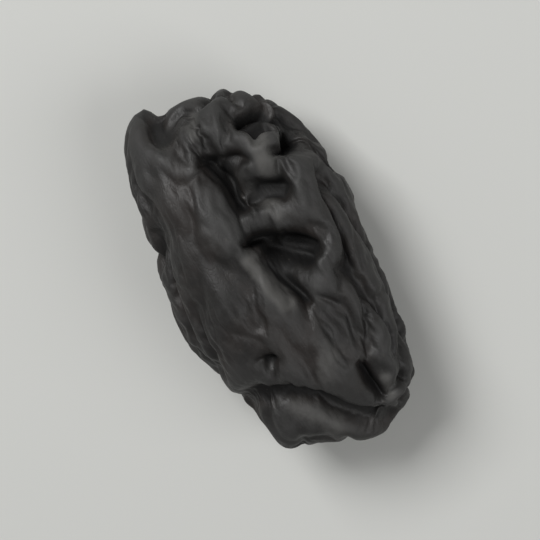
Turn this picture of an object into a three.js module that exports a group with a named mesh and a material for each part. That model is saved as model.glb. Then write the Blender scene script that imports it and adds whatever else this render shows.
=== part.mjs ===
// A whole dried prune, lying on its flatter side.
// Millimetres, +Z up. X runs the length of the fruit, with the end that grew on the stalk at -X.
// The origin is on the surface that the fruit lies on, under the middle of its box.
//
// The flesh is a plump body that follows the outline, less a few broad hollows. The skin is longer
// than the shrunken flesh. It is drawn in along the creases and the finer wrinkles, and between them
// it buckles, while the soft flesh presses it out into rounded folds.
import * as THREE from "three";
import { mergeVertices } from "three/addons/utils/BufferGeometryUtils.js";
import { ImprovedNoise } from "three/addons/math/ImprovedNoise.js";

// The plump fruit. RISE and DROP are how far it reaches above and below its widest level.
const LENGTH = 46.5;
const WIDTH = 23.6;
const RISE = 10.4;
const DROP = 9.4;
const PRESSED = 0.4; // how much of the underside is pressed flat
const ROUNDING = 0.92; // below 1 fills out the shoulders of a cross-section
const SPLITS = 23; // the skin has 20 * (SPLITS + 1)^2 triangles

// The outline from above, anticlockwise from the blunt end.
const OUTLINE = [
  [21.9, 3.9],
  [20.8, 6.2],
  [19.4, 8.0],
  [17.9, 9.7],
  [14.0, 10.8],
  [9.0, 11.6],
  [3.0, 12.1],
  [-4.0, 12.6],
  [-11.5, 12.5],
  [-16.4, 11.7],
  [-19.9, 9.9],
  [-22.4, 6.6],
  [-23.4, 2.8],
  [-23.8, -0.6],
  [-23.8, -3.0],
  [-25.0, -5.0],
  [-23.1, -7.4],
  [-19.6, -9.0],
  [-14.3, -9.8],
  [-9.7, -10.3],
  [-4.0, -11.5],
  [1.4, -11.8],
  [5.4, -10.8],
  [9.4, -10.0],
  [14.6, -8.7],
  [17.9, -7.7],
  [19.1, -6.1],
  [19.5, -3.9],
  [20.9, -1.0],
  [21.7, 1.6],
];
const SOFTENED = 30; // degrees to each side that the outline is averaged over, near the middle
const CORNERS = { gone: 0.4, full: 0.95 }; // shares of the way out where its corners fade in

// Every line below is given in plan, on the top or the underside. Its reach is how far to each
// side of it the surface is changed.
const TOP = 1;
const UNDER = -1;

// Broad hollows in the flesh, and a swelling, whose depth is below 0.
const HOLLOWS = [
  // The valley beside the smooth ridge.
  {
    side: TOP,
    depth: 0.8,
    reach: 3.2,
    line: [[-17, 2.7], [-11.8, 3.5], [-5.8, 3.4], [-0.8, 3.8], [6.2, 4.8], [11.2, 6.2]],
  },
  // The step down to the lip of the blunt end.
  { side: TOP, depth: 1.1, reach: 2.4, line: [[11.9, -7.8], [13.7, -3], [17, 1], [20.6, 4.6]] },
  // The stalk's hollow.
  { side: TOP, depth: 0.6, reach: 2, line: [[-24.4, -3.2], [-21.2, -2.7]] },
  // A swelling of the shoulder on the far side of the stalk.
  { side: TOP, depth: -1.4, reach: 4, line: [[-19.5, 5.5], [-17.6, 8.6], [-14, 10.2]] },
  // The seam's furrow, low on the far side, and one low on the near side.
  { side: UNDER, depth: 1.4, reach: 3, line: [[-17, 7], [-9, 9.2], [1, 9.6], [11, 8.2], [18, 4.6]] },
  { side: UNDER, depth: 1, reach: 2.6, line: [[-14, -7.4], [-5, -8.6], [5, -8.2]] },
];

// Creases and pits, where the skin is drawn in deepest. A line of one point is a dimple.
const CREASES = [
  // The fold across the blunt end, which leaves a lip beyond it, and the slit and dimple beside it.
  {
    side: TOP,
    depth: 2.9,
    reach: 0.72,
    line: [
      [11.7, -9.4],
      [11.3, -7.4],
      [12.2, -5],
      [13.5, -2.6],
      [15.4, -0.6],
      [17.7, 1.1],
      [19.6, 3],
      [20.9, 4.8],
      [21.6, 6],
    ],
  },
  { side: TOP, depth: 2.4, reach: 0.6, line: [[12.1, 7], [15.2, 6.8], [18.4, 6.8]] },
  { side: TOP, depth: 1.8, reach: 0.75, line: [[16.2, 9.3], [17.3, 9.3]] },
  // The groove along the middle, the deep wedge at its head, and a dimple on the near side.
  { side: TOP, depth: 3, reach: 0.56, line: [[-4.1, 2.1], [-2, 3], [0, 3.9], [2, 4.7], [3.2, 5.2]] },
  { side: TOP, depth: 4.6, reach: 0.8, line: [[-6.3, 1.3], [-5.4, 3.1], [-4.4, 5.2], [-3, 8.4]] },
  { side: TOP, depth: 4, reach: 0.7, line: [[-5.6, 2.6], [-4, 4.2], [-2.5, 5.8], [-1.2, 7.8]] },
  { side: TOP, depth: 1.2, reach: 0.8, line: [[6.9, -3.8], [7.6, -2.2]] },
  // The long pit towards the stalk, its branch, and the short slit beside it.
  { side: TOP, depth: 4.5, reach: 0.75, line: [[-17, 0.4], [-16.2, 2.1], [-13.6, 2.7], [-9.2, 2.9]] },
  { side: TOP, depth: 2.4, reach: 0.55, line: [[-16.4, 2.4], [-16, 4.2], [-14.9, 5.6]] },
  { side: TOP, depth: 3.3, reach: 0.6, line: [[-11.6, 3.9], [-10.9, 6.2], [-10, 8.8]] },
  // The hooked pit in two parts, and the faint crease beside the knob.
  { side: TOP, depth: 4.2, reach: 0.8, line: [[-19.5, 6.3], [-19.3, 8], [-18.4, 9.7], [-17.4, 10.7]] },
  { side: TOP, depth: 2.8, reach: 0.7, line: [[-17.8, 10.3], [-16.4, 11.4], [-15.2, 11.4], [-15.3, 10.2]] },
  { side: TOP, depth: 1.1, reach: 0.55, line: [[-24.2, -3.5], [-22.4, -3.1], [-20.6, -2.1]] },
  // The seam, low on the far side.
  { side: UNDER, depth: 1.5, reach: 0.77, line: [[-17, 7], [-9, 9], [1, 9.2], [11, 8], [17, 5]] },
];

// Smooth places, and the share of the skin's slack and wrinkles that is left there: the broad ridge
// down the near side, the lip of the blunt end, the swelling beside the slit and the stalk's end.
const SMOOTH = [
  {
    side: TOP,
    left: 0.1,
    reach: 5,
    line: [[-21, -4.8], [-13.5, -5.8], [-6.8, -6.6], [-0.2, -7], [6.2, -6.6]],
  },
  { side: TOP, left: 0.2, reach: 2.6, line: [[16.6, -6], [18.4, -3], [20.4, 0.8], [22, 3.4]] },
  { side: TOP, left: 0.2, reach: 3, line: [[6, 2.8], [10, 3.8], [14.4, 4.2]] },
  { side: TOP, left: 0.5, reach: 3, line: [[-21.7, 1.3], [-19.5, 3.5]] },
];

// The wrinkles are a net of finer creases, mostly along the fruit, on the lines where a noise is 0.
const WRINKLES = {
  meshes: [10, 3.2, 3.2], // how wide the net's meshes are, along X, Y and Z
  breadth: 0.13, // how far from 0 the noise still makes a wrinkle
  depth: 0.9,
  hold: 0.4,
  patches: [9, 6, 6], // how wide the patches of stronger and fainter wrinkles are
  average: 0.6, // their usual strength
  swing: 1.6, // and how much it varies
};

// The skin. Its stiffnesses are shares of its own stiffness against stretching.
const SKIN = {
  girthSlack: 0.15, // how much too long it is round the girth
  lengthSlack: 0.09, // and along the fruit
  patches: [11, 8, 8], // how wide the patches of more and less slack are, along X, Y and Z
  patchRange: [0.3, 1.7],
  tautNearCrease: 0.4, // the share of its slack that a crease takes up
  tautReach: 2.2, // in reaches of that crease
  looseHeight: 1.4, // how far above the pressed spot it has all its slack
  uneven: 0.5, // how far out of true it starts
  unevenness: [4, 2.2, 2.2], // how wide those bumps are
  bending: 0.2,
  inward: 0.022, // the flesh's hold on skin that sinks in
  outward: 0.05, // on skin that stands out
  sideways: 0.03, // and on skin that slides
  drawn: 3, // a crease's hold
  turgor: 0.02, // how hard the flesh presses it out
  drawnBy: 0.6, // the share of the steps in which a crease is drawn to its depth
  room: 0.66, // how close the walls of a fold may come, as a share of their first distance
  steps: 700,
  kept: 0.9, // the share of its speed that a point keeps at each step
  gained: 0.1, // the share of its force that it gains as speed
};

// The noise is always the same. Each use of it reads a place of its own.
const PLACES = { slack: 3.7, unevenness: 7, wrinkles: 11.3, strength: 5.1 };
const noise = new ImprovedNoise();
const noiseAt = (p, widths, place) =>
  noise.noise(p.x / widths[0] + place, p.y / widths[1], p.z / widths[2] + place);
const bell = (distance, reach) => Math.exp(-((distance / reach) ** 2));

// How much further out the outline lies than a plain ellipse does, for each degree round.
const DEGREES = 360;
const STEPS_PER_POINT = 40; // how finely the outline is followed between two of its points
const outlineRatios = (() => {
  const points = new THREE.CatmullRomCurve3(
    OUTLINE.map(([x, y]) => new THREE.Vector3(x, y, 0)),
    true,
    "centripetal",
  ).getPoints(OUTLINE.length * STEPS_PER_POINT);
  return Array.from({ length: DEGREES }, (_, degree) => {
    const angle = THREE.MathUtils.degToRad(degree);
    const way = new THREE.Vector3(Math.cos(angle), Math.sin(angle), 0);
    const ahead = points.reduce((best, p) => (way.angleTo(p) < way.angleTo(best) ? p : best));
    return ahead.length() * Math.hypot(way.x / (LENGTH / 2), way.y / (WIDTH / 2));
  });
})();
const softRatios = outlineRatios.map((_, degree) => {
  let sum = 0;
  for (let turn = -SOFTENED; turn <= SOFTENED; turn += 1) {
    sum += outlineRatios[(degree + turn + DEGREES) % DEGREES];
  }
  return sum / (2 * SOFTENED + 1);
});

// The same in the direction of any point of the unit disc.
function outlineRatio(unitX, unitY) {
  const angle = THREE.MathUtils.radToDeg(Math.atan2(unitY * WIDTH, unitX * LENGTH));
  const low = Math.floor(angle);
  const between = (ratios) =>
    THREE.MathUtils.lerp(
      ratios[(low + DEGREES) % DEGREES],
      ratios[(low + 1 + DEGREES) % DEGREES],
      angle - low,
    );
  const corners = THREE.MathUtils.smoothstep(Math.hypot(unitX, unitY), CORNERS.gone, CORNERS.full);
  return THREE.MathUtils.lerp(between(softRatios), between(outlineRatios), corners);
}

// A point of the unit sphere goes to a point of the plump fruit.
function plumpPoint(unit) {
  const ratio = outlineRatio(unit.x, unit.y);
  const height = Math.sign(unit.z) * Math.abs(unit.z) ** ROUNDING;
  return new THREE.Vector3(
    ((unit.x * LENGTH) / 2) * ratio,
    ((unit.y * WIDTH) / 2) * ratio,
    height * (height > 0 ? RISE : DROP),
  );
}

// The point of the plump fruit above or below a point of the plan. The ratio depends on how far
// out the point is, so it is found in rounds.
const ROUNDS = 12;
function plumpPointAt(x, y, side) {
  const unit = new THREE.Vector3((2 * x) / LENGTH, (2 * y) / WIDTH, 0);
  for (let round = 0; round < ROUNDS; round += 1) {
    const ratio = outlineRatio(unit.x, unit.y);
    unit.set((2 * x) / LENGTH / ratio, (2 * y) / WIDTH / ratio, 0);
  }
  if (unit.length() > 1) unit.normalize();
  unit.z = side * Math.sqrt(1 - Math.min(unit.lengthSq(), 1));
  return plumpPoint(unit);
}

// Lays a feature's line on the fruit as a chain of points, with LINKS between them.
const LINKS = 30;
function laidOn(feature) {
  const points = feature.line.map(([x, y]) => plumpPointAt(x, y, feature.side));
  const chain = points.length > 1 ? new THREE.CatmullRomCurve3(points).getPoints(LINKS) : points;
  return { ...feature, chain };
}

// How far p is from a chain, and a taper that falls from 1 halfway along it to 0 at its ends.
const segment = new THREE.Line3();
const foot = new THREE.Vector3();
function nearest(chain, p) {
  if (chain.length === 1) return { distance: chain[0].distanceTo(p), taper: 1 };
  const found = { distance: Infinity, taper: 0 };
  for (let i = 0; i + 1 < chain.length; i += 1) {
    segment.set(chain[i], chain[i + 1]);
    const part = segment.closestPointToPointParameter(p, true);
    const distance = segment.at(part, foot).distanceTo(p);
    if (distance < found.distance) {
      const along = (i + part) / (chain.length - 1);
      found.distance = distance;
      found.taper = Math.sqrt(Math.max(0, 4 * along * (1 - along)));
    }
  }
  return found;
}

// The mesh starts as an evenly split ball, whose points are then moved.
const geometry = new THREE.IcosahedronGeometry(1, SPLITS);
geometry.deleteAttribute("normal");
geometry.deleteAttribute("uv");
const mesh = mergeVertices(geometry);
const position = mesh.getAttribute("position");
const vertices = Array.from({ length: position.count }, (_, i) => i);

// Puts the mesh's points in place and gives the way out at each.
function place(points) {
  points.forEach((p, i) => position.setXYZ(i, p.x, p.y, p.z));
  mesh.computeVertexNormals();
  const normal = mesh.getAttribute("normal");
  return vertices.map((i) => new THREE.Vector3().fromBufferAttribute(normal, i));
}

const neighbours = vertices.map(() => new Set());
for (let i = 0; i < mesh.index.count; i += 3) {
  const [a, b, c] = [mesh.index.getX(i), mesh.index.getX(i + 1), mesh.index.getX(i + 2)];
  neighbours[a].add(b).add(c);
  neighbours[b].add(c).add(a);
  neighbours[c].add(a).add(b);
}

// The plump fruit, and the flesh with its hollows.
const plump = vertices.map((i) => plumpPoint(new THREE.Vector3().fromBufferAttribute(position, i)));
const plumpOut = place(plump);
const hollows = HOLLOWS.map(laidOn);
const flesh = plump.map((p, i) => {
  let sunk = 0;
  for (const { chain, depth, reach } of hollows) {
    const { distance, taper } = nearest(chain, p);
    sunk += depth * taper * bell(distance, reach);
  }
  return p.clone().addScaledVector(plumpOut[i], -sunk);
});
const out = place(flesh);
const floor = PRESSED - DROP;

// How deep the strongest crease draws each point, how firmly, and how near a crease is.
const creases = CREASES.map(laidOn);
const pulls = plump.map((p) => {
  const pull = { depth: 0, hold: 0, near: 0 };
  for (const { chain, depth, reach } of creases) {
    const { distance, taper } = nearest(chain, p);
    const hold = bell(distance, reach);
    pull.near = Math.max(pull.near, bell(distance, SKIN.tautReach * reach));
    if (hold > pull.hold) {
      pull.hold = hold;
      pull.depth = depth * taper;
    }
  }
  return pull;
});

// The share of slack and wrinkles that is left at each point, and how free of the floor it is.
const smoothPlaces = SMOOTH.map(laidOn);
const lefts = plump.map((p) =>
  smoothPlaces.reduce(
    (share, { chain, left, reach }) =>
      share * (1 - (1 - left) * bell(nearest(chain, p).distance, reach)),
    1,
  ),
);
const frees = plump.map((p) => THREE.MathUtils.smoothstep(p.z - floor, 0, SKIN.looseHeight));

// The slack comes in patches. It is less by a crease.
const slacks = plump.map((p, i) => {
  const patch = 1 + noiseAt(p, SKIN.patches, PLACES.slack);
  const slack = THREE.MathUtils.clamp(patch, ...SKIN.patchRange);
  return slack * lefts[i] * frees[i] * (1 - SKIN.tautNearCrease * pulls[i].near);
});

// How firmly the net of wrinkles holds each point. It fades out by a crease and by the floor.
const wrinkles = plump.map((p, i) => {
  const patch = WRINKLES.swing * noiseAt(p, WRINKLES.patches, PLACES.strength);
  const strength = THREE.MathUtils.clamp(WRINKLES.average + patch, 0, 1);
  const line = bell(noiseAt(p, WRINKLES.meshes, PLACES.wrinkles), WRINKLES.breadth);
  return WRINKLES.hold * strength * line * lefts[i] * frees[i] * (1 - pulls[i].near);
});

// Each edge of the mesh once: its ends, its way and length on the flesh, and the skin's length.
const lengthwise = new THREE.Vector3(1, 0, 0);
const edges = vertices.flatMap((a) =>
  [...neighbours[a]]
    .filter((b) => b > a)
    .map((b) => {
      const way = flesh[b].clone().sub(flesh[a]);
      const span = way.length();
      way.divideScalar(span);
      const girth = lengthwise.clone().cross(out[a].clone().add(out[b])).normalize();
      const round = way.dot(girth) ** 2;
      const slack = (slacks[a] + slacks[b]) / 2;
      const longer = slack * (SKIN.girthSlack * round + SKIN.lengthSlack * (1 - round));
      return { a, b, way, span, length: span * (1 + longer) };
    }),
);

// The skin starts a little uneven, and buckles until its forces settle.
const skin = flesh.map((p, i) =>
  p
    .clone()
    .addScaledVector(out[i], SKIN.uneven * noiseAt(p, SKIN.unevenness, PLACES.unevenness)),
);
const speeds = vertices.map(() => new THREE.Vector3());
const forces = vertices.map(() => new THREE.Vector3());
const bends = vertices.map(() => new THREE.Vector3());
const shift = new THREE.Vector3();

// The flesh holds the skin where it grew, and the creases and wrinkles draw it in.
function holdDown(i, drawn) {
  const { depth, hold } = pulls[i];
  shift.subVectors(skin[i], flesh[i]);
  const raised = shift.dot(out[i]);
  const grip = (raised > 0 ? SKIN.outward : SKIN.inward) * raised;
  const crease = SKIN.drawn * hold * drawn * (raised + depth * drawn);
  const wrinkle = wrinkles[i] * drawn * (raised + WRINKLES.depth * drawn);
  forces[i].copy(shift).addScaledVector(out[i], -raised).multiplyScalar(-SKIN.sideways);
  forces[i].addScaledVector(out[i], -(grip + crease + wrinkle));
}

// The flesh presses the skin out, square to it as it lies now.
function pressOut(i, skinOut) {
  forces[i].addScaledVector(skinOut[i], SKIN.turgor * frees[i] * (1 - pulls[i].hold));
}

// How far the skin's shift from the flesh differs, at each point, from that of its neighbours.
function measureBend(i) {
  shift.subVectors(skin[i], flesh[i]);
  bends[i].set(0, 0, 0);
  for (const j of neighbours[i]) bends[i].add(skin[j]).sub(flesh[j]);
  bends[i].divideScalar(neighbours[i].size).sub(shift);
}

function resistBend(i) {
  shift.set(0, 0, 0);
  for (const j of neighbours[i]) shift.add(bends[j]);
  shift.divideScalar(neighbours[i].size).sub(bends[i]);
  forces[i].addScaledVector(shift, -SKIN.bending);
}

function resistStretch({ a, b, length }) {
  shift.subVectors(skin[b], skin[a]);
  const stretched = shift.length();
  shift.multiplyScalar((stretched - length) / length / stretched);
  forces[a].add(shift);
  forces[b].sub(shift);
}

function keepApart({ a, b, way, span }) {
  const short = SKIN.room * span - shift.subVectors(skin[b], skin[a]).dot(way);
  if (short <= 0) return;
  skin[a].addScaledVector(way, -short / 2);
  skin[b].addScaledVector(way, short / 2);
}

function restOnFloor(i) {
  if (skin[i].z >= floor) return;
  skin[i].z = floor;
  speeds[i].set(0, 0, 0);
}

for (let step = 0; step < SKIN.steps; step += 1) {
  const drawn = Math.min(1, step / (SKIN.steps * SKIN.drawnBy));
  const skinOut = place(skin);
  for (const i of vertices) holdDown(i, drawn);
  for (const i of vertices) pressOut(i, skinOut);
  for (const i of vertices) measureBend(i);
  for (const i of vertices) resistBend(i);
  for (const edge of edges) resistStretch(edge);
  for (const i of vertices) {
    speeds[i].multiplyScalar(SKIN.kept).addScaledVector(forces[i], SKIN.gained);
    skin[i].add(speeds[i]);
  }
  for (const edge of edges) keepApart(edge);
  for (const i of vertices) restOnFloor(i);
}

// The fruit is set down with the middle of its box over the origin.
const middle = new THREE.Box3().setFromPoints(skin).getCenter(new THREE.Vector3());
const origin = new THREE.Vector3(middle.x, middle.y, floor);
place(skin.map((p) => p.clone().sub(origin)));

const prune = new THREE.Mesh(
  mesh,
  new THREE.MeshStandardMaterial({ color: 0x2b2928, roughness: 0.5, metalness: 0 }),
);
prune.name = "prune";

const fruit = new THREE.Group();
fruit.add(prune);
export default fruit;
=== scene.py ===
# %% [markdown]
# # A whole dried prune
# A prune is a plum that has lost most of its water. The flesh shrinks and the skin doesn't, so the
# skin settles into plump folds with sharp valleys between them, and into fine wrinkles on the folds.
# The fruit's solid already has the big folds. This script gives it the finer ones and the finish of
# the skin, then sets it on a pale floor under soft light.
#
# A cell of words like this one comes before each step, and the step's code is short. Blender counts
# in metres, so a length in millimetres is written as a number times MM.

import bmesh
import bpy
import numpy as np
from mathutils import Matrix, Vector, noise


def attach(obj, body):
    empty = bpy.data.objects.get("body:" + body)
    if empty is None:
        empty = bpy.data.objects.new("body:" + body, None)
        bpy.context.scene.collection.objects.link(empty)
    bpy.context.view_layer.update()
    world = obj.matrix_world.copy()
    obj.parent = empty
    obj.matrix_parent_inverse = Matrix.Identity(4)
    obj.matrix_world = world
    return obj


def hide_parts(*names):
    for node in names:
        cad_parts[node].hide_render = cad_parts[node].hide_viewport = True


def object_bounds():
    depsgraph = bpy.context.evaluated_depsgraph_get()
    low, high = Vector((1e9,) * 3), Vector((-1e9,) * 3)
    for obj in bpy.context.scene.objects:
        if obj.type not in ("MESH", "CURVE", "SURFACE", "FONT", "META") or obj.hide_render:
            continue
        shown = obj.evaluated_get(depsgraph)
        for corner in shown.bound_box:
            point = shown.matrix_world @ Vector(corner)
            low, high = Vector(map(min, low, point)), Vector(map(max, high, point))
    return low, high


MM = 0.001
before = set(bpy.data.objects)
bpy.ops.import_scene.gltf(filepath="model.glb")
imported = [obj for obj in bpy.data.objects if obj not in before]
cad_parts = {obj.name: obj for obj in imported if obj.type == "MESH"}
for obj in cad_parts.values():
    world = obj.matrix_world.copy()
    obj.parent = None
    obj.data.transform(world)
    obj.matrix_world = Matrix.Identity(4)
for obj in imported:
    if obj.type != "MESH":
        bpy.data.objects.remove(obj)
cad_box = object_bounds()
low, high = (np.array(corner) for corner in cad_box)
middle = (low + high) / 2
print("the solid's box in mm:", np.round((high - low) / MM, 2))

# %% [markdown]
# ## The surface to start from
# The skin has to fit the solid fold for fold. It could be modelled again from a ball, but then every
# fold would have to be found twice. So a copy of the solid's own mesh is the start. It comes as loose
# triangles, so points that lie in the same place are merged first.

# %% A merged copy of the solid
SAME_PLACE = 0.001 * MM
shape = bmesh.new()
shape.from_mesh(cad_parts["prune"].data)
bmesh.ops.remove_doubles(shape, verts=shape.verts, dist=SAME_PLACE)
print("the solid has", len(shape.verts), "points and", len(shape.faces), "faces")

# %% [markdown]
# ## An even copy
# Later steps need to know what is a fold and what is a valley. A smoothed copy shows it: a point
# of the skin that stands out from the copy is on a fold, and one that lies below it is in a valley.
# The copy is smoothed here, while there are few points, because that takes far fewer rounds.
# Smoothing also shrinks it, most of all at the ends. So what it lost is smoothed in the same way
# and given back. Each point keeps its even place in a layer, which the splitting below fills in.

# %% Smooth a copy until only the fruit's main form is left
EVEN_ROUNDS = 60
HALF_WAY = 0.5
even_shape = shape.copy()
lost = shape.copy()
even_layer = shape.verts.layers.float_vector.new("even")


def smooth(bm):
    """Moves each point half way to its neighbours' middle, many times over."""
    for _ in range(EVEN_ROUNDS):
        bmesh.ops.smooth_vert(bm, verts=bm.verts, factor=HALF_WAY,
                              use_axis_x=True, use_axis_y=True, use_axis_z=True)


smooth(even_shape)
for point, even_point in zip(lost.verts, even_shape.verts):
    point.co -= even_point.co
smooth(lost)
for point, even_point, lost_point in zip(shape.verts, even_shape.verts, lost.verts):
    point[even_layer] = even_point.co + lost_point.co
even_shape.free()
lost.free()
print("the even copy keeps", len(shape.verts), "points")

# %% [markdown]
# ## Splitting
# The solid's triangles are nearly a millimetre wide, too coarse for fine wrinkles. A Subdivision
# Surface modifier would turn each into three quads, which soon passes 200,000 triangles. Splitting
# every edge in two turns one triangle into four, so two rounds make 16 of each and stay under it.

# %% Split every edge twice
SPLIT_ROUNDS = 2
for _ in range(SPLIT_ROUNDS):
    bmesh.ops.subdivide_edges(shape, edges=shape.edges, cuts=1, use_grid_fill=True)
skin_mesh = bpy.data.meshes.new("prune_skin")
shape.to_mesh(skin_mesh)
shape.free()
skin_mesh.polygons.foreach_set("use_smooth", [True] * len(skin_mesh.polygons))
print("after splitting there are", len(skin_mesh.polygons), "faces")

# %% [markdown]
# ## Moving many points at once
# From here on only the points move. NumPy holds them all in one table, so a step is one line for
# the whole skin instead of a loop. Four helpers are enough: the mean of each point's neighbours,
# smoothing, which uses that mean, the way out of the fruit at each point, and a soft switch from
# 0 to 1.

# %% Tables of points and neighbours
count = len(skin_mesh.vertices)
places = np.empty(count * 3)
skin_mesh.vertices.foreach_get("co", places)
places = places.reshape(count, 3)
even = np.empty(count * 3)
skin_mesh.attributes["even"].data.foreach_get("vector", even)
even = even.reshape(count, 3)
skin_mesh.attributes.remove(skin_mesh.attributes["even"])
pairs = np.empty(len(skin_mesh.edges) * 2, dtype=int)
skin_mesh.edges.foreach_get("vertices", pairs)
pairs = pairs.reshape(-1, 2)
givers, takers = np.concatenate([pairs, pairs[:, ::-1]]).T
joined = np.bincount(takers, minlength=count)


def mean_nearby(values):
    """The mean of each point's neighbours, for numbers or for places."""
    columns = values.reshape(count, -1).T
    sums = [np.bincount(takers, column[givers], count) for column in columns]
    return (np.stack(sums, axis=1) / joined[:, None]).reshape(values.shape)


def smoothed(values, rounds):
    """The values after that many rounds of moving half way to their neighbours' mean."""
    for _ in range(rounds):
        values = (values + mean_nearby(values)) / 2
    return values


def way_out(now):
    """The direction straight out of the skin at each point, once the mesh has those places."""
    skin_mesh.vertices.foreach_set("co", now.ravel())
    skin_mesh.update()
    ways = np.empty(count * 3)
    skin_mesh.vertex_normals.foreach_get("vector", ways)
    return ways.reshape(count, 3)


def soft_step(values, start, end):
    """0 up to start and 1 from end, with a smooth rise between."""
    share = np.clip((values - start) / (end - start), 0, 1)
    return share * share * (3 - 2 * share)


span = np.linalg.norm(places[pairs[:, 0]] - places[pairs[:, 1]], axis=1).mean()
print("the skin has", count, "points, on average", round(span / MM, 3), "mm apart")

# %% [markdown]
# ## Taking the corners off
# The split triangles still lie flat in the old ones, so their edges would show as facets. Smoothing
# removes them, but plain smoothing also shrinks the fruit. So each round moves the points towards
# their neighbours and then a little further back, which leaves large forms as they were.

# %% Smooth without shrinking
FACET_ROUNDS = 14
IN_SHARE = 0.5
BACK_SHARE = -0.51
for _ in range(FACET_ROUNDS):
    for share in (IN_SHARE, BACK_SHARE):
        places = places + share * (mean_nearby(places) - places)
print("the smoothed skin is", np.round(np.ptp(places, axis=0) / MM, 2), "mm in size")

# %% [markdown]
# ## Where the skin can move
# The fruit lies on a small flat spot, which has to stay flat and touch the floor. So a share for
# each point says how free it is: 0 on the floor and 1 from a little above it.

# %% How free each point is
HELD_HEIGHT = 0.05 * MM
FREE_HEIGHT = 1.3 * MM
free = soft_step(places[:, 2], HELD_HEIGHT, FREE_HEIGHT)
print("points held on the floor:", int((free == 0).sum()))

# %% [markdown]
# ## Distances from a line
# Most of the next steps work along lines across the fruit's top, which are given in plan. One
# helper finds the way from each point to a line, and the other turns the distance into a share. The
# underside lies below the same lines, so a second share says how far each point belongs to the top.

# %% Helpers for lines in plan
TOP_FADE = 3 * MM
on_top = soft_step(places[:, 2], middle[2] - TOP_FADE, middle[2])


def nearest_on_line(line, points):
    """The way in plan from each point to the nearest place on a line given in mm."""
    found = np.full((len(points), 2), np.inf)
    corners = np.array(line) * MM
    for start, end in zip(corners[:-1], corners[1:]):
        way = end - start
        along = np.clip((points - start) @ way / (way @ way), 0, 1)
        gap = start + along[:, None] * way - points
        nearer = np.hypot(*gap.T) < np.hypot(*found.T)
        found[nearer] = gap[nearer]
    return found


def near_line(line, reach):
    """1 on the line and, on the fruit's top, fading out over about that many mm to each side."""
    distance = np.hypot(*nearest_on_line(line, places[:, :2]).T)
    return np.exp(-((distance / (reach * MM)) ** 2)) * on_top


print("share of the skin that belongs to the top:", round(float(on_top.mean()), 2))

# %% [markdown]
# ## Deep pits with close lips
# In the deepest valleys the folds on both sides nearly touch, so they look black. The solid's
# triangles are too wide for that, so its pits are wide too. A sculptor has a pinch brush, which
# draws both walls towards the line between them. Here each line is given in plan, and a point of
# the top keeps only a share of its distance from the nearest line. The distance that is left grows
# with the old one, so the walls can't pass through each other. Then the floor sinks further into
# the fruit.

# %% The lines of the pits
PITS = [
    # points along the line, the share of the distance that goes, how far the floor sinks, and how
    # far to each side; all but the share are in mm
    # the slit and the dimple at the blunt end, and the dimple on the near side
    ([(13.7, 5.8), (15.9, 5.7), (17.5, 5.7), (19, 5.7)], 0.6, 0.6, 0.5),
    ([(18.1, 8.8), (18.7, 9)], 0.2, 0.8, 0.7),
    ([(8.4, -4.3), (8.9, -2.8)], 0.1, 0.9, 0.75),
    # the groove along the middle, and the ridge beside it, which rises, so its depth is below 0
    ([(-2.4, 1.5), (-0.4, 2.1), (1.8, 2.8), (3.7, 3.6), (4.6, 4)], 0.6, 0.6, 0.5),
    ([(-2.6, -0.2), (0, 0.4), (2.7, 1.2)], 0, -0.45, 0.9),
    # the wedge at its head: its tip and its two sides
    ([(-5, 0.9), (-4.2, 2.4), (-3.5, 3.6)], 0.45, 1.4, 0.6),
    ([(-3.1, 4.2), (-1.9, 5.6), (-0.9, 7.2)], 0.3, 2.4, 0.9),
    ([(-3, 2.8), (-1.4, 4.2), (0, 5.8)], 0.3, 2.0, 0.8),
    # the long pit, its branch and the short slit
    ([(-15.4, -0.1), (-14.8, 1.3), (-12.4, 1.6), (-10.4, 1.7), (-8.6, 2.2)], 0.55, 0.8, 0.65),
    ([(-14.9, 2), (-14.5, 3.7), (-13.5, 5)], 0.4, 0.4, 0.5),
    ([(-10.3, 4.6), (-9.9, 5.4), (-8.9, 7.3)], 0.35, 0.8, 0.7),
    # the hooked pit
    ([(-17.6, 5.8), (-17.7, 7.3), (-16.8, 8.9), (-15.8, 10)], 0.3, 2.0, 0.65),
    ([(-15.8, 10), (-14.5, 10.3), (-13.3, 10), (-12.8, 9.2), (-13.1, 8.3)], 0.3, 2.4, 0.65),
]
print("there are", len(PITS), "lines")

# %% Pinch the pits along their lines
PINCH_REACH = 2.0 * MM
PINCH_ROUNDS = 4
SINK_ROUNDS = 2
even_out = way_out(even)
lines, shares, depths, reaches = zip(*PITS)
gaps = np.stack([nearest_on_line(line, places[:, :2]) for line in lines])
nearest_pit = np.hypot(gaps[:, :, 0], gaps[:, :, 1]).argmin(axis=0)
gap = gaps[nearest_pit, np.arange(count)]
to_pit = np.hypot(*gap.T)
drawn = np.array(shares)[nearest_pit] * np.exp(-((to_pit / PINCH_REACH) ** 2)) * on_top
places[:, :2] += smoothed(drawn[:, None] * gap, PINCH_ROUNDS)
to_pit = to_pit * (1 - drawn)
in_slot = np.exp(-((to_pit / (np.array(reaches)[nearest_pit] * MM)) ** 2)) * on_top
sink = smoothed(np.array(depths)[nearest_pit] * MM * in_slot, SINK_ROUNDS)
places -= even_out * sink[:, None]
print("the pits' floors sink by up to", round(sink.max() / MM, 2), "mm")

# %% [markdown]
# ## Plump folds and sharp valleys
# The smaller folds get the same treatment in one step. The skin is compared with a lightly
# smoothed copy of itself. Tops are lowered a little, which rounds them, and valleys are sunk.

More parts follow.
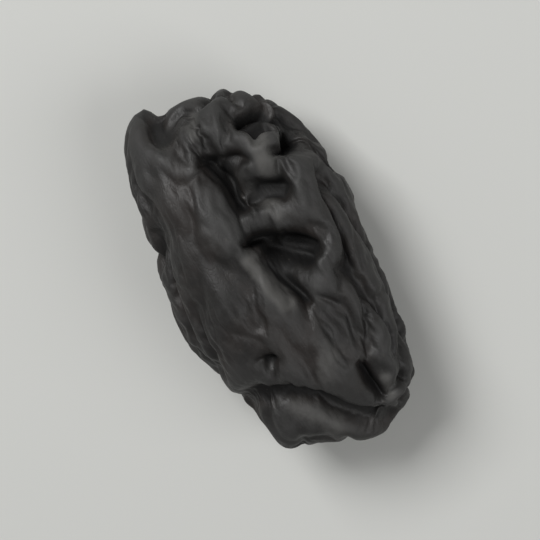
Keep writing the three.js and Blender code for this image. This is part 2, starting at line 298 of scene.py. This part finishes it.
# %% Round the small folds and sink the small valleys
LIGHT_ROUNDS = 30
LOWERING = 0.2
SINKING = 0.3
MOVE_ROUNDS = 4
lightly = smoothed(places, LIGHT_ROUNDS)
lightly_out = way_out(lightly)
height = ((places - lightly) * lightly_out).sum(axis=1)
move = smoothed(np.where(height > 0, -LOWERING, SINKING) * height, MOVE_ROUNDS) * free
places = places + lightly_out * move[:, None]
print("small valleys sunk by up to", round(-move.min() / MM, 2), "mm")

# %% [markdown]
# ## Where the flesh fills the skin out
# Beside the pits the flesh still fills the skin out, so the small folds are pressed flat there. A
# sculptor would rub over them with a smooth brush. Here the points move to a smoothed copy of the
# skin, by a share that fades out away from a few lines and towards the pits.

# %% Press the small folds flat along a few lines
PRESS_LINES = [
    # points along the line and how far its effect reaches, in mm
    ([(6.5, 3.4), (9, 3.6), (12.2, 3.8)], 2),
    ([(-6, -5), (0, -4.2), (5.5, -4)], 3),
    ([(-18, -2.6), (-13, -3.2)], 2),
]
PRESS_ROUNDS = 50
pressed = np.zeros(count)
for line, reach in PRESS_LINES:
    pressed = np.maximum(pressed, near_line(line, reach))
pressed *= 1 - in_slot
places += (smoothed(places, PRESS_ROUNDS) - places) * pressed[:, None]
print("share of the skin that is pressed flat:", round(float(pressed.mean()), 3))

# %% [markdown]
# ## Where the skin is slack
# The skin isn't equally loose all over. It is slack in patches, more round the fruit than along it,
# so most fine wrinkles run lengthwise. Down the near side runs one broad fold that the flesh fills
# out, and there the skin is nearly smooth, as it is on the lip at the blunt end.

# %% The share of slack at each point
SMOOTH_LINES = [
    # points along the line and how far it reaches, both in mm, and the share of slack that is left
    ([(-19.6, -5.3), (-12, -6.3), (-5.3, -7.1), (1.3, -7.5), (7.7, -7.1)], 4.5, 0.3),
    ([(16.9, -7.5), (18.4, -3.5), (20.7, 0.2), (22.7, 3)], 3, 0.1),
    ([(13, -9), (13.7, -5.5), (15, -3.1), (16.9, -1.1), (19.2, 0.6), (22, 3.8)], 2, 0.1),
    ([(7.4, 1.4), (11.4, 2.8), (15.4, 3.3)], 4, 0.3),
    ([(-0.6, 4.2), (3.4, 5.6)], 2.5, 0.3),
    ([(-20.2, 0.8), (-18, 3)], 3, 0.4),
]
PIT_CALM_REACH = 1.2 * MM
PIT_CALM_SHARE = 0.8
PATCH = 6 * MM
USUAL_SLACK = 0.7
PATCH_SLACK = 1.1
LEAST_SLACK = 0.1
MOST_SLACK = 1.3


def noise_at(table):
    """A smooth noise between about -1 and 1 at each row of a table."""
    return np.array([noise.noise(Vector(row)) for row in table])


patches = USUAL_SLACK + PATCH_SLACK * noise_at(places / PATCH)
slack = np.clip(patches, LEAST_SLACK, MOST_SLACK) * free
for line, reach, left in SMOOTH_LINES:
    slack *= 1 - (1 - left) * near_line(line, reach)
slack *= 1 - PIT_CALM_SHARE * np.exp(-((to_pit / PIT_CALM_REACH) ** 2)) * on_top
print("the slack share goes from", round(slack.min(), 2), "to", round(slack.max(), 2))

# %% [markdown]
# ## A faint start for each wrinkle
# Skin that is pressed together evenly could buckle anywhere, so it needs a hint. The size of a
# noise, without its sign, has the form of wrinkles: round tops, and sharp valleys where the noise
# passes through zero. It is read on a tube round the fruit, which makes the wrinkles run along it
# and draw together at the ends.

# %% Faint wrinkles from a noise on a tube
TUBE = 10 * MM
THINNEST = 0.1 * MM
FAINT = [
    # how long, how wide and how high
    (7.0 * MM, 2.4 * MM, 0.10 * MM),
    (3.2 * MM, 1.2 * MM, 0.06 * MM),
    (1.6 * MM, 0.6 * MM, 0.02 * MM),
]
BEND = 0.8
BEND_WIDTH = 4 * MM
# whole steps through the noise, so that no two of its uses are alike, and its usual size, at which
# a point stays where it is
BEND_STEPS = (5, 17, 31)
FAINT_STEP = 11
USUAL_SIZE = 0.25


def on_tube(now, long, wide):
    """Where each point lies on the tube, counted in wrinkles."""
    x, y, z = (now - middle).T
    radius = np.maximum(np.hypot(y, z), THINNEST)
    return np.stack([x / long, TUBE * y / radius / wide, TUBE * z / radius / wide], axis=1)


radius = np.hypot(*(places - middle).T[1:])
narrow = np.clip(radius / TUBE, 0, 1)
bends = BEND * np.stack([noise_at(places / BEND_WIDTH + step) for step in BEND_STEPS], axis=1)
faint = np.zeros(count)
for number, (long, wide, size) in enumerate(FAINT):
    folds = np.abs(noise_at(on_tube(places, long, wide) + bends + FAINT_STEP * number))
    faint += size * (folds / USUAL_SIZE - 1)
places = places + way_out(places) * (faint * slack * narrow)[:, None]
print("faint wrinkles go from", round(faint.min() / MM, 2), "to", round(faint.max() / MM, 2), "mm")

# %% [markdown]
# ## Skin that is too long
# The fine wrinkles then come about as on the real fruit. The skin is a net of springs that are
# longer than the way between their ends, so they press against each other and the net buckles.
# Blender's cloth could do this too, but its pins hold a point equally firmly in every direction,
# and here the skin has to sink in more easily than it stands out. So the net is written out: a
# table with a row for each point that lists its neighbours, and the length that the spring to each
# of them would like to have. A point with few neighbours fills up its row with itself.

# %% The net of springs
GIRTH_SLACK = 0.14
LENGTH_SLACK = 0.06
TINY = 1e-9
rows = np.argsort(takers, kind="stable")
first_row = np.repeat(np.cumsum(joined) - joined, joined)
net = np.tile(np.arange(count)[:, None], (1, joined.max()))
net[takers[rows], np.arange(len(rows)) - first_row] = givers[rows]


def dot(first, second):
    """The dot product of each row of one table with the same row of the other."""
    return (first * second).sum(axis=-1)


start_out = way_out(places).astype(np.float32)
start = places.astype(np.float32)
ways = start[net] - start[:, None]
spans = np.maximum(np.sqrt(dot(ways, ways)), TINY)
ways /= spans[:, :, None]
girth = np.cross((1.0, 0.0, 0.0), start_out)
girth = girth[net] + girth[:, None]
girth /= np.maximum(np.sqrt(dot(girth, girth)), TINY)[:, :, None]
round_share = dot(ways, girth) ** 2
full_slack = LENGTH_SLACK + (GIRTH_SLACK - LENGTH_SLACK) * round_share
longer = (slack[net] + slack[:, None]) / 2 * full_slack
is_itself = net == np.arange(count)[:, None]
spans[is_itself] = 0
rest = (spans * (1 + longer)).astype(np.float32)
print("springs are up to", round(float(100 * longer.max())), "percent too long")

# %% [markdown]
# ## Letting it buckle
# Each step adds up what pushes on a point: its springs, the flesh that holds it near its place,
# and the stiffness of the skin, which makes the wrinkles about a millimetre wide. The flesh holds
# less firmly against sinking in than against standing out, so the wrinkles get round tops and
# sharp valleys. Most of the speed is kept from one step to the next, which lets the folds grow.
# Last, neighbours that come too close are moved apart, so the skin doesn't fold through itself.

# %% Let the net buckle
STEPS = 240
BENDING = 0.5
INWARD = 0.004
OUTWARD = 0.012
SIDEWAYS = 0.01
KEPT = 0.9
GAINED = 0.2
ROOM = 0.35
APART = 0.25


def bend_of(values):
    """How far each point's value is from the mean of its neighbours."""
    filled_up = net.shape[1] - joined
    near = values[net].sum(axis=1) - filled_up[:, None] * values
    return near / joined[:, None] - values


now = start.copy()
speed = np.zeros_like(now)
for _ in range(STEPS):
    links = now[net] - now[:, None]
    lengths = np.maximum(np.sqrt(dot(links, links)), TINY)
    force = (((lengths - rest) / lengths)[:, :, None] * links).sum(axis=1)
    shift = now - start
    raised = dot(shift, start_out)[:, None]
    force -= np.where(raised > 0, OUTWARD, INWARD) * raised * start_out
    force -= SIDEWAYS * (shift - raised * start_out)
    force -= BENDING * bend_of(bend_of(shift))
    speed = speed * KEPT + force * GAINED
    now = now + speed.astype(np.float32)
    short = np.maximum(ROOM * spans - dot(now[net] - now[:, None], ways), 0)
    now -= APART * (ways * short[:, :, None]).sum(axis=1)
places = now.astype(float)
moved = dot(places - start, start_out)
print("the skin moved from", round(moved.min() / MM, 2), "to", round(moved.max() / MM, 2), "mm")

# %% [markdown]
# ## Back inside the box
# The skin mustn't be bigger than the solid that it stands for. A point past the solid's box is
# moved back to its side, which also keeps the flat spot on the floor.

# %% Keep the skin inside the solid's box
beyond = max((low - places).max(), (places - high).max())
places = np.clip(places, low, high)
skin_mesh.vertices.foreach_set("co", places.ravel())
skin_mesh.update()
print("the furthest point was", round(beyond / MM, 3), "mm outside")

# %% [markdown]
# ## How deep each point lies
# The finish gives the valleys painted shade, a darker colour that stands in for the shade in them,
# and makes the tops of the folds greyer. It reads this from an attribute on the mesh: 0 in a valley,
# 0.5 on an even stretch and 1 on top of a fold.

# %% An attribute for valleys and folds
DEPTH_RANGE = 1.2 * MM
EVEN_SHARE = 0.5
height = ((places - even) * even_out).sum(axis=1)
raised = np.clip(EVEN_SHARE + height / (2 * DEPTH_RANGE), 0, 1)
attribute = skin_mesh.attributes.new("raised", "FLOAT", "POINT")
attribute.data.foreach_set("value", raised.astype(np.float32))
print("share of the skin below an even stretch:", round(float((raised < EVEN_SHARE).mean()), 3))

# %% [markdown]
# ## Painted highlights on some folds
# Some folds beside the deep pits and the lip get a painted highlight, a paler colour that stands in
# for the light on them. A second attribute marks those places.

# %% An attribute for the painted highlights
PAINTED_HIGHLIGHT_LINES = [
    # points along the line and how far the painted highlight reaches, both in mm, and how strong it
    # is
    ([(-2.9, 0), (0.3, 0.9), (3.4, 1.7)], 1.0, 1),
    ([(-16, 7), (-13.7, 6.9), (-11.4, 6.7)], 1.2, 1),
    ([(-8.7, 4.4), (-6.5, 5.3)], 1.3, 0.6),
    ([(15.4, -3.6), (17.3, -2.3), (19.5, -0.8)], 1.6, 0.6),
    ([(10.4, 3.5), (12.8, 2.1)], 1.8, 0.5),
    ([(17, 7.2), (19.4, 6.8)], 0.8, 0.7),
    ([(-20.4, 0.8), (-18.6, 0.2)], 0.8, 0.6),
]
# how strong the painted highlight is at each point
painted_highlight = np.zeros(count)
for line, reach, highlight_amount in PAINTED_HIGHLIGHT_LINES:
    painted_highlight = np.maximum(painted_highlight, highlight_amount * near_line(line, reach))
attribute = skin_mesh.attributes.new("painted_highlight", "FLOAT", "POINT")
attribute.data.foreach_set("value", painted_highlight.astype(np.float32))
print("the highlight_paint's mean thickness is a share of", round(float(painted_highlight.mean()), 3))

# %% [markdown]
# ## The piece
# The mesh is done, so it becomes an object. It stands for the solid, which is hidden from here on,
# and rides on the only body that there is.

# %% The skin as an object
prune = bpy.data.objects.new("prune_skin", skin_mesh)
bpy.context.scene.collection.objects.link(prune)
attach(prune, "root")
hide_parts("prune")
print("the skin is the object", prune.name)

# %% [markdown]
# ## Writing finishes as sums
# A finish is built from many small nodes. To keep that readable, the first class below wraps a
# socket, and adding or multiplying wrapped sockets makes the Math nodes. The second holds the
# material and adds the other kinds of node that the finishes need.

# %% Two small classes for materials
class Value:
    """A node's output. Adding, subtracting or multiplying it, or abs of it, adds a Math node."""

    def __init__(self, finish, socket):
        self.finish = finish
        self.socket = socket

    def math(self, operation, first, second):
        return self.finish.node("ShaderNodeMath", {"operation": operation}, {0: first, 1: second})

    def __add__(self, other):
        return self.math("ADD", self, other)

    def __radd__(self, other):
        return self.math("ADD", other, self)

    def __sub__(self, other):
        return self.math("SUBTRACT", self, other)

    def __rsub__(self, other):
        return self.math("SUBTRACT", other, self)

    def __mul__(self, other):
        return self.math("MULTIPLY", self, other)

    def __rmul__(self, other):
        return self.math("MULTIPLY", other, self)

    def __abs__(self):
        return self.finish.node("ShaderNodeMath", {"operation": "ABSOLUTE"}, {0: self})


class Finish:
    """A material and the nodes in it."""

    def __init__(self, name):
        self.material = bpy.data.materials.new(name)
        self.material.use_nodes = True
        self.tree = self.material.node_tree
        self.shader = self.tree.nodes["Principled BSDF"]

    def node(self, kind, settings=None, sockets=None, output=0):
        """Adds a node, changes its settings, then fills its sockets with values or links."""
        added = self.tree.nodes.new(kind)
        for name, setting in (settings or {}).items():
            setattr(added, name, setting)
        for name, value in (sockets or {}).items():
            self.fill(added.inputs[name], value)
        return Value(self, added.outputs[output])

    def fill(self, socket, value):
        """Links a wrapped socket to this one, or sets it to a plain value."""
        if isinstance(value, Value):
            self.tree.links.new(value.socket, socket)
        else:
            socket.default_value = value

    def range(self, value, start, end, low=0.0, high=1.0):
        """Maps start to low and end to high, with a smooth change between them."""
        sockets = {"Value": value, "From Min": start, "From Max": end, "To Min": low, "To Max": high}
        return self.node("ShaderNodeMapRange", {"interpolation_type": "SMOOTHSTEP"}, sockets)

    def speckle(self, place, size, detail=3.0, roughness=0.5):
        """A noise whose spots are about that size."""
        sockets = {"Vector": place, "Scale": 1 / size, "Detail": detail, "Roughness": roughness}
        return self.node("ShaderNodeTexNoise", None, sockets)

    def mix(self, share, first, second):
        """The first colour where share is 0, the second where it is 1."""
        # a Mix node has sockets of the same name for each kind of value, so they go by number
        sockets = {0: share, 6: first, 7: second}
        return self.node("ShaderNodeMix", {"data_type": "RGBA"}, sockets, output=2)


# %% [markdown]
# ## The skin's colour
# The skin is almost black, a warm charcoal rather than a pure grey. Up close it isn't even: it is
# browner in places, where the flesh shines through, and greyer on the tops of the folds. Some folds
# get a painted highlight, a paler colour that stands in for the light on them, and the valleys and
# pits get painted shade, a darker colour that stands in for the shade in them. Tiny pale dots are its
# pores.
# Each colour is laid over the last by a share, and noises of three sizes break the shares up, so
# that no patch has a plain edge.

# %% The colours, and the noises that break them up
CHARCOAL = (0.0170, 0.0160, 0.0152, 1)
BROWN = (0.0205, 0.0168, 0.0150, 1)
# a greyer colour for the tops of the folds
FOLD_TOP_GREY = (0.0370, 0.0365, 0.0355, 1)
# painted highlight: a paler colour that stands in for the light on some folds
PAINTED_HIGHLIGHT_COLOUR = (0.0780, 0.0760, 0.0720, 1)
# painted shade: a darker colour that stands in for the shade in the valleys and pits
PAINTED_SHADE_COLOUR = (0.0060, 0.0056, 0.0054, 1)
PORE = (0.0480, 0.0420, 0.0360, 1)

LARGE_SPOT = 7 * MM
MEDIUM_SPOT = 1.8 * MM
SMALL_SPOT = 0.4 * MM
# a noise node's values lie round this
MEAN_NOISE = 0.5

skin = Finish("prune_skin")
place = skin.node("ShaderNodeTexCoord", output="Object")
raised_value = skin.node("ShaderNodeAttribute", {"attribute_name": "raised"}, output="Fac")
painted_highlight_value = skin.node("ShaderNodeAttribute", {"attribute_name": "painted_highlight"}, output="Fac")
large = skin.speckle(place, LARGE_SPOT, detail=2)
medium = skin.speckle(place, MEDIUM_SPOT, detail=4, roughness=0.6)
small = skin.speckle(place, SMALL_SPOT, detail=3, roughness=0.6)
print("the noises' spots are", [size / MM for size in (LARGE_SPOT, MEDIUM_SPOT, SMALL_SPOT)], "mm")

# %% Charcoal, brown, grey fold tops, painted highlight, painted shade and pores
# where each colour starts and is full, and for some, its least and largest share
BROWN_RANGE = (0.55, 0.85)
FOLD_TOP_RANGE = (0.9, 1.5, 0.0, 0.8)
PAINTED_HIGHLIGHT_RANGE = (0.1, 0.9)
PAINTED_SHADE_RANGE = (0.3, 0.0)
PORE_RANGE = (0.13, 0.07, 0.0, 0.45)
PORE_SPACING = 1.1 * MM

brown_share = skin.range(large + 0.3 * medium, *BROWN_RANGE)
colour = skin.mix(brown_share, CHARCOAL, BROWN)
fold_top_share = skin.range(raised_value + 0.8 * medium + 0.25 * small, *FOLD_TOP_RANGE)
colour = skin.mix(fold_top_share, colour, FOLD_TOP_GREY)
# painted highlight: the marked folds get a paler colour that stands in for the light on them
painted_highlight_share = skin.range(painted_highlight_value + 0.7 * (medium - MEAN_NOISE), *PAINTED_HIGHLIGHT_RANGE)
colour = skin.mix(painted_highlight_share, colour, PAINTED_HIGHLIGHT_COLOUR)
# painted shade: the deeper a valley lies, the darker its colour, for the shade that falls in it
painted_shade_share = skin.range(raised_value, *PAINTED_SHADE_RANGE)
colour = skin.mix(painted_shade_share, colour, PAINTED_SHADE_COLOUR)
dots = skin.node("ShaderNodeTexVoronoi", None, {"Vector": place, "Scale": 1 / PORE_SPACING})
pore_share = skin.range(dots, *PORE_RANGE)
colour = skin.mix(pore_share, colour, PORE)
skin.fill(skin.shader.inputs["Base Color"], colour)
print("the skin's colour has", len(skin.tree.nodes), "nodes")

# %% [markdown]
# ## The skin's sheen
# The skin is neither wet nor dry. It has a soft, slightly moist sheen, duller on the tops of the
# folds and in the pits. The sheen is broken up by lines and grain that are too fine to model, so
# those are the only part of the relief that is a bump.

# %% Roughness
USUAL_ROUGHNESS = 0.5
SKIN_IOR = 1.45
uneven = 0.14 * (small - MEAN_NOISE) + 0.2 * (medium - MEAN_NOISE)
roughness = USUAL_ROUGHNESS + 0.16 * fold_top_share + 0.2 * painted_shade_share + uneven
skin.fill(skin.shader.inputs["Roughness"], roughness)
skin.shader.inputs["IOR"].default_value = SKIN_IOR
print("the skin's usual roughness is", USUAL_ROUGHNESS)

# %% Fine relief
ALONG_THE_FRUIT = (0.35, 1, 1)
LINE_SPACING = 0.6 * MM
LINE_RANGE = (0.0, 0.09)
GRAIN_SPOT = 0.16 * MM
RELIEF_STRENGTH = 0.6
RELIEF_HEIGHT = 0.045 * MM
stretched = skin.node("ShaderNodeVectorMath", {"operation": "MULTIPLY"},
                      {0: place, 1: ALONG_THE_FRUIT})
lines_noise = skin.speckle(stretched, LINE_SPACING, detail=3, roughness=0.55)
fine_lines = skin.range(abs(lines_noise - MEAN_NOISE), *LINE_RANGE)
grain = skin.speckle(place, GRAIN_SPOT, detail=2)
relief = 0.5 * fine_lines + 0.45 * small + 0.2 * grain
bump_sockets = {"Strength": RELIEF_STRENGTH, "Distance": RELIEF_HEIGHT, "Height": relief}
skin.fill(skin.shader.inputs["Normal"], skin.node("ShaderNodeBump", None, bump_sockets))
skin_mesh.materials.append(skin.material)
print("the skin's finish has", len(skin.tree.nodes), "nodes")

# %% [markdown]
# ## The floor
# A plain pale floor, wide enough to fill the view from any side, shows the fruit's outline and
# takes its soft shadow. It is part of the stage and not of the fruit.

# %% A pale floor
FLOOR_SIDE = 3.0
floor_shape = bmesh.new()
bmesh.ops.create_grid(floor_shape, x_segments=1, y_segments=1, size=FLOOR_SIDE / 2)
floor_mesh = bpy.data.meshes.new("floor")
floor_shape.to_mesh(floor_mesh)
floor_shape.free()
floor = bpy.data.objects.new("floor", floor_mesh)
bpy.context.scene.collection.objects.link(floor)

PALE = (0.64, 0.645, 0.62, 1)
PALE_ROUGHNESS = 0.6
PALE_SPECULAR = 0.2
paper = Finish("pale_floor")
paper.shader.inputs["Base Color"].default_value = PALE
paper.shader.inputs["Roughness"].default_value = PALE_ROUGHNESS
paper.shader.inputs["Specular IOR Level"].default_value = PALE_SPECULAR
floor_mesh.materials.append(paper.material)
print("the floor is", FLOOR_SIDE, "m wide")

# %% [markdown]
# ## The light
# Large lamps give soft shadows and broad, gentle highlights, which suit a dark wrinkled skin: small
# lamps would scatter hard white dots over it. The main lamp stands up and to the left as the camera
# sees it, a weaker one fills in from the other side, and the surroundings are a light grey.

# %% Soft lamps
# the picture's up and right, laid on the floor
PICTURE_UP = Vector((-0.888, 0.46, 0))
PICTURE_RIGHT = Vector((0.46, 0.888, 0))


def add_lamp(name, to_right, upwards, above, side, power):
    """A square lamp that looks at the fruit. Its place is given as the camera sees it."""
    data = bpy.data.lights.new(name, "AREA")
    data.size = side
    data.energy = power
    lamp = bpy.data.objects.new(name, data)
    lamp.location = to_right * PICTURE_RIGHT + upwards * PICTURE_UP + Vector((0, 0, above))
    lamp.rotation_euler = (-lamp.location).to_track_quat("-Z", "Y").to_euler()
    bpy.context.scene.collection.objects.link(lamp)
    print(name, "is", round(lamp.location.length, 2), "m away")


add_lamp("main_lamp", to_right=-0.28, upwards=0.32, above=0.50, side=0.30, power=3.2)
add_lamp("fill_lamp", to_right=0.45, upwards=-0.10, above=0.45, side=0.45, power=1.3)

# %% Light grey surroundings
LIGHT_GREY = (0.93, 0.93, 0.93, 1)
GREY_STRENGTH = 0.2
world = bpy.data.worlds.new("surroundings")
world.use_nodes = True
background = world.node_tree.nodes["Background"]
background.inputs["Color"].default_value = LIGHT_GREY
background.inputs["Strength"].default_value = GREY_STRENGTH
bpy.context.scene.world = world
bpy.context.scene.view_settings.view_transform = "Standard"
print("the surroundings have a strength of", GREY_STRENGTH)

# %% [markdown]
# ## The camera
# The photograph looks down on the fruit from a little to one side, so the camera does too. A long
# lens from 0.4 m keeps the outline close to its plan. The camera's axes are set directly: it looks
# back along its own Z, with the picture's up as near to its Y as that allows.

# %% A camera above the fruit
TO_CAMERA = Vector((-0.12, 0.205, 1)).normalized()
DISTANCE = 0.4
NEAREST = 0.01
VIEW_WIDTH = 64 * MM

camera_data = bpy.data.cameras.new("camera")
camera_data.lens = camera_data.sensor_width * DISTANCE / VIEW_WIDTH
camera_data.clip_start = NEAREST
camera = bpy.data.objects.new("camera", camera_data)
across = PICTURE_UP.cross(TO_CAMERA).normalized()
upright = TO_CAMERA.cross(across)
turn = Matrix((across, upright, TO_CAMERA)).transposed().to_4x4()
camera.matrix_world = Matrix.Translation(Vector(middle) + DISTANCE * TO_CAMERA) @ turn
bpy.context.scene.collection.objects.link(camera)
bpy.context.scene.camera = camera
print("the lens is", round(camera_data.lens), "mm")
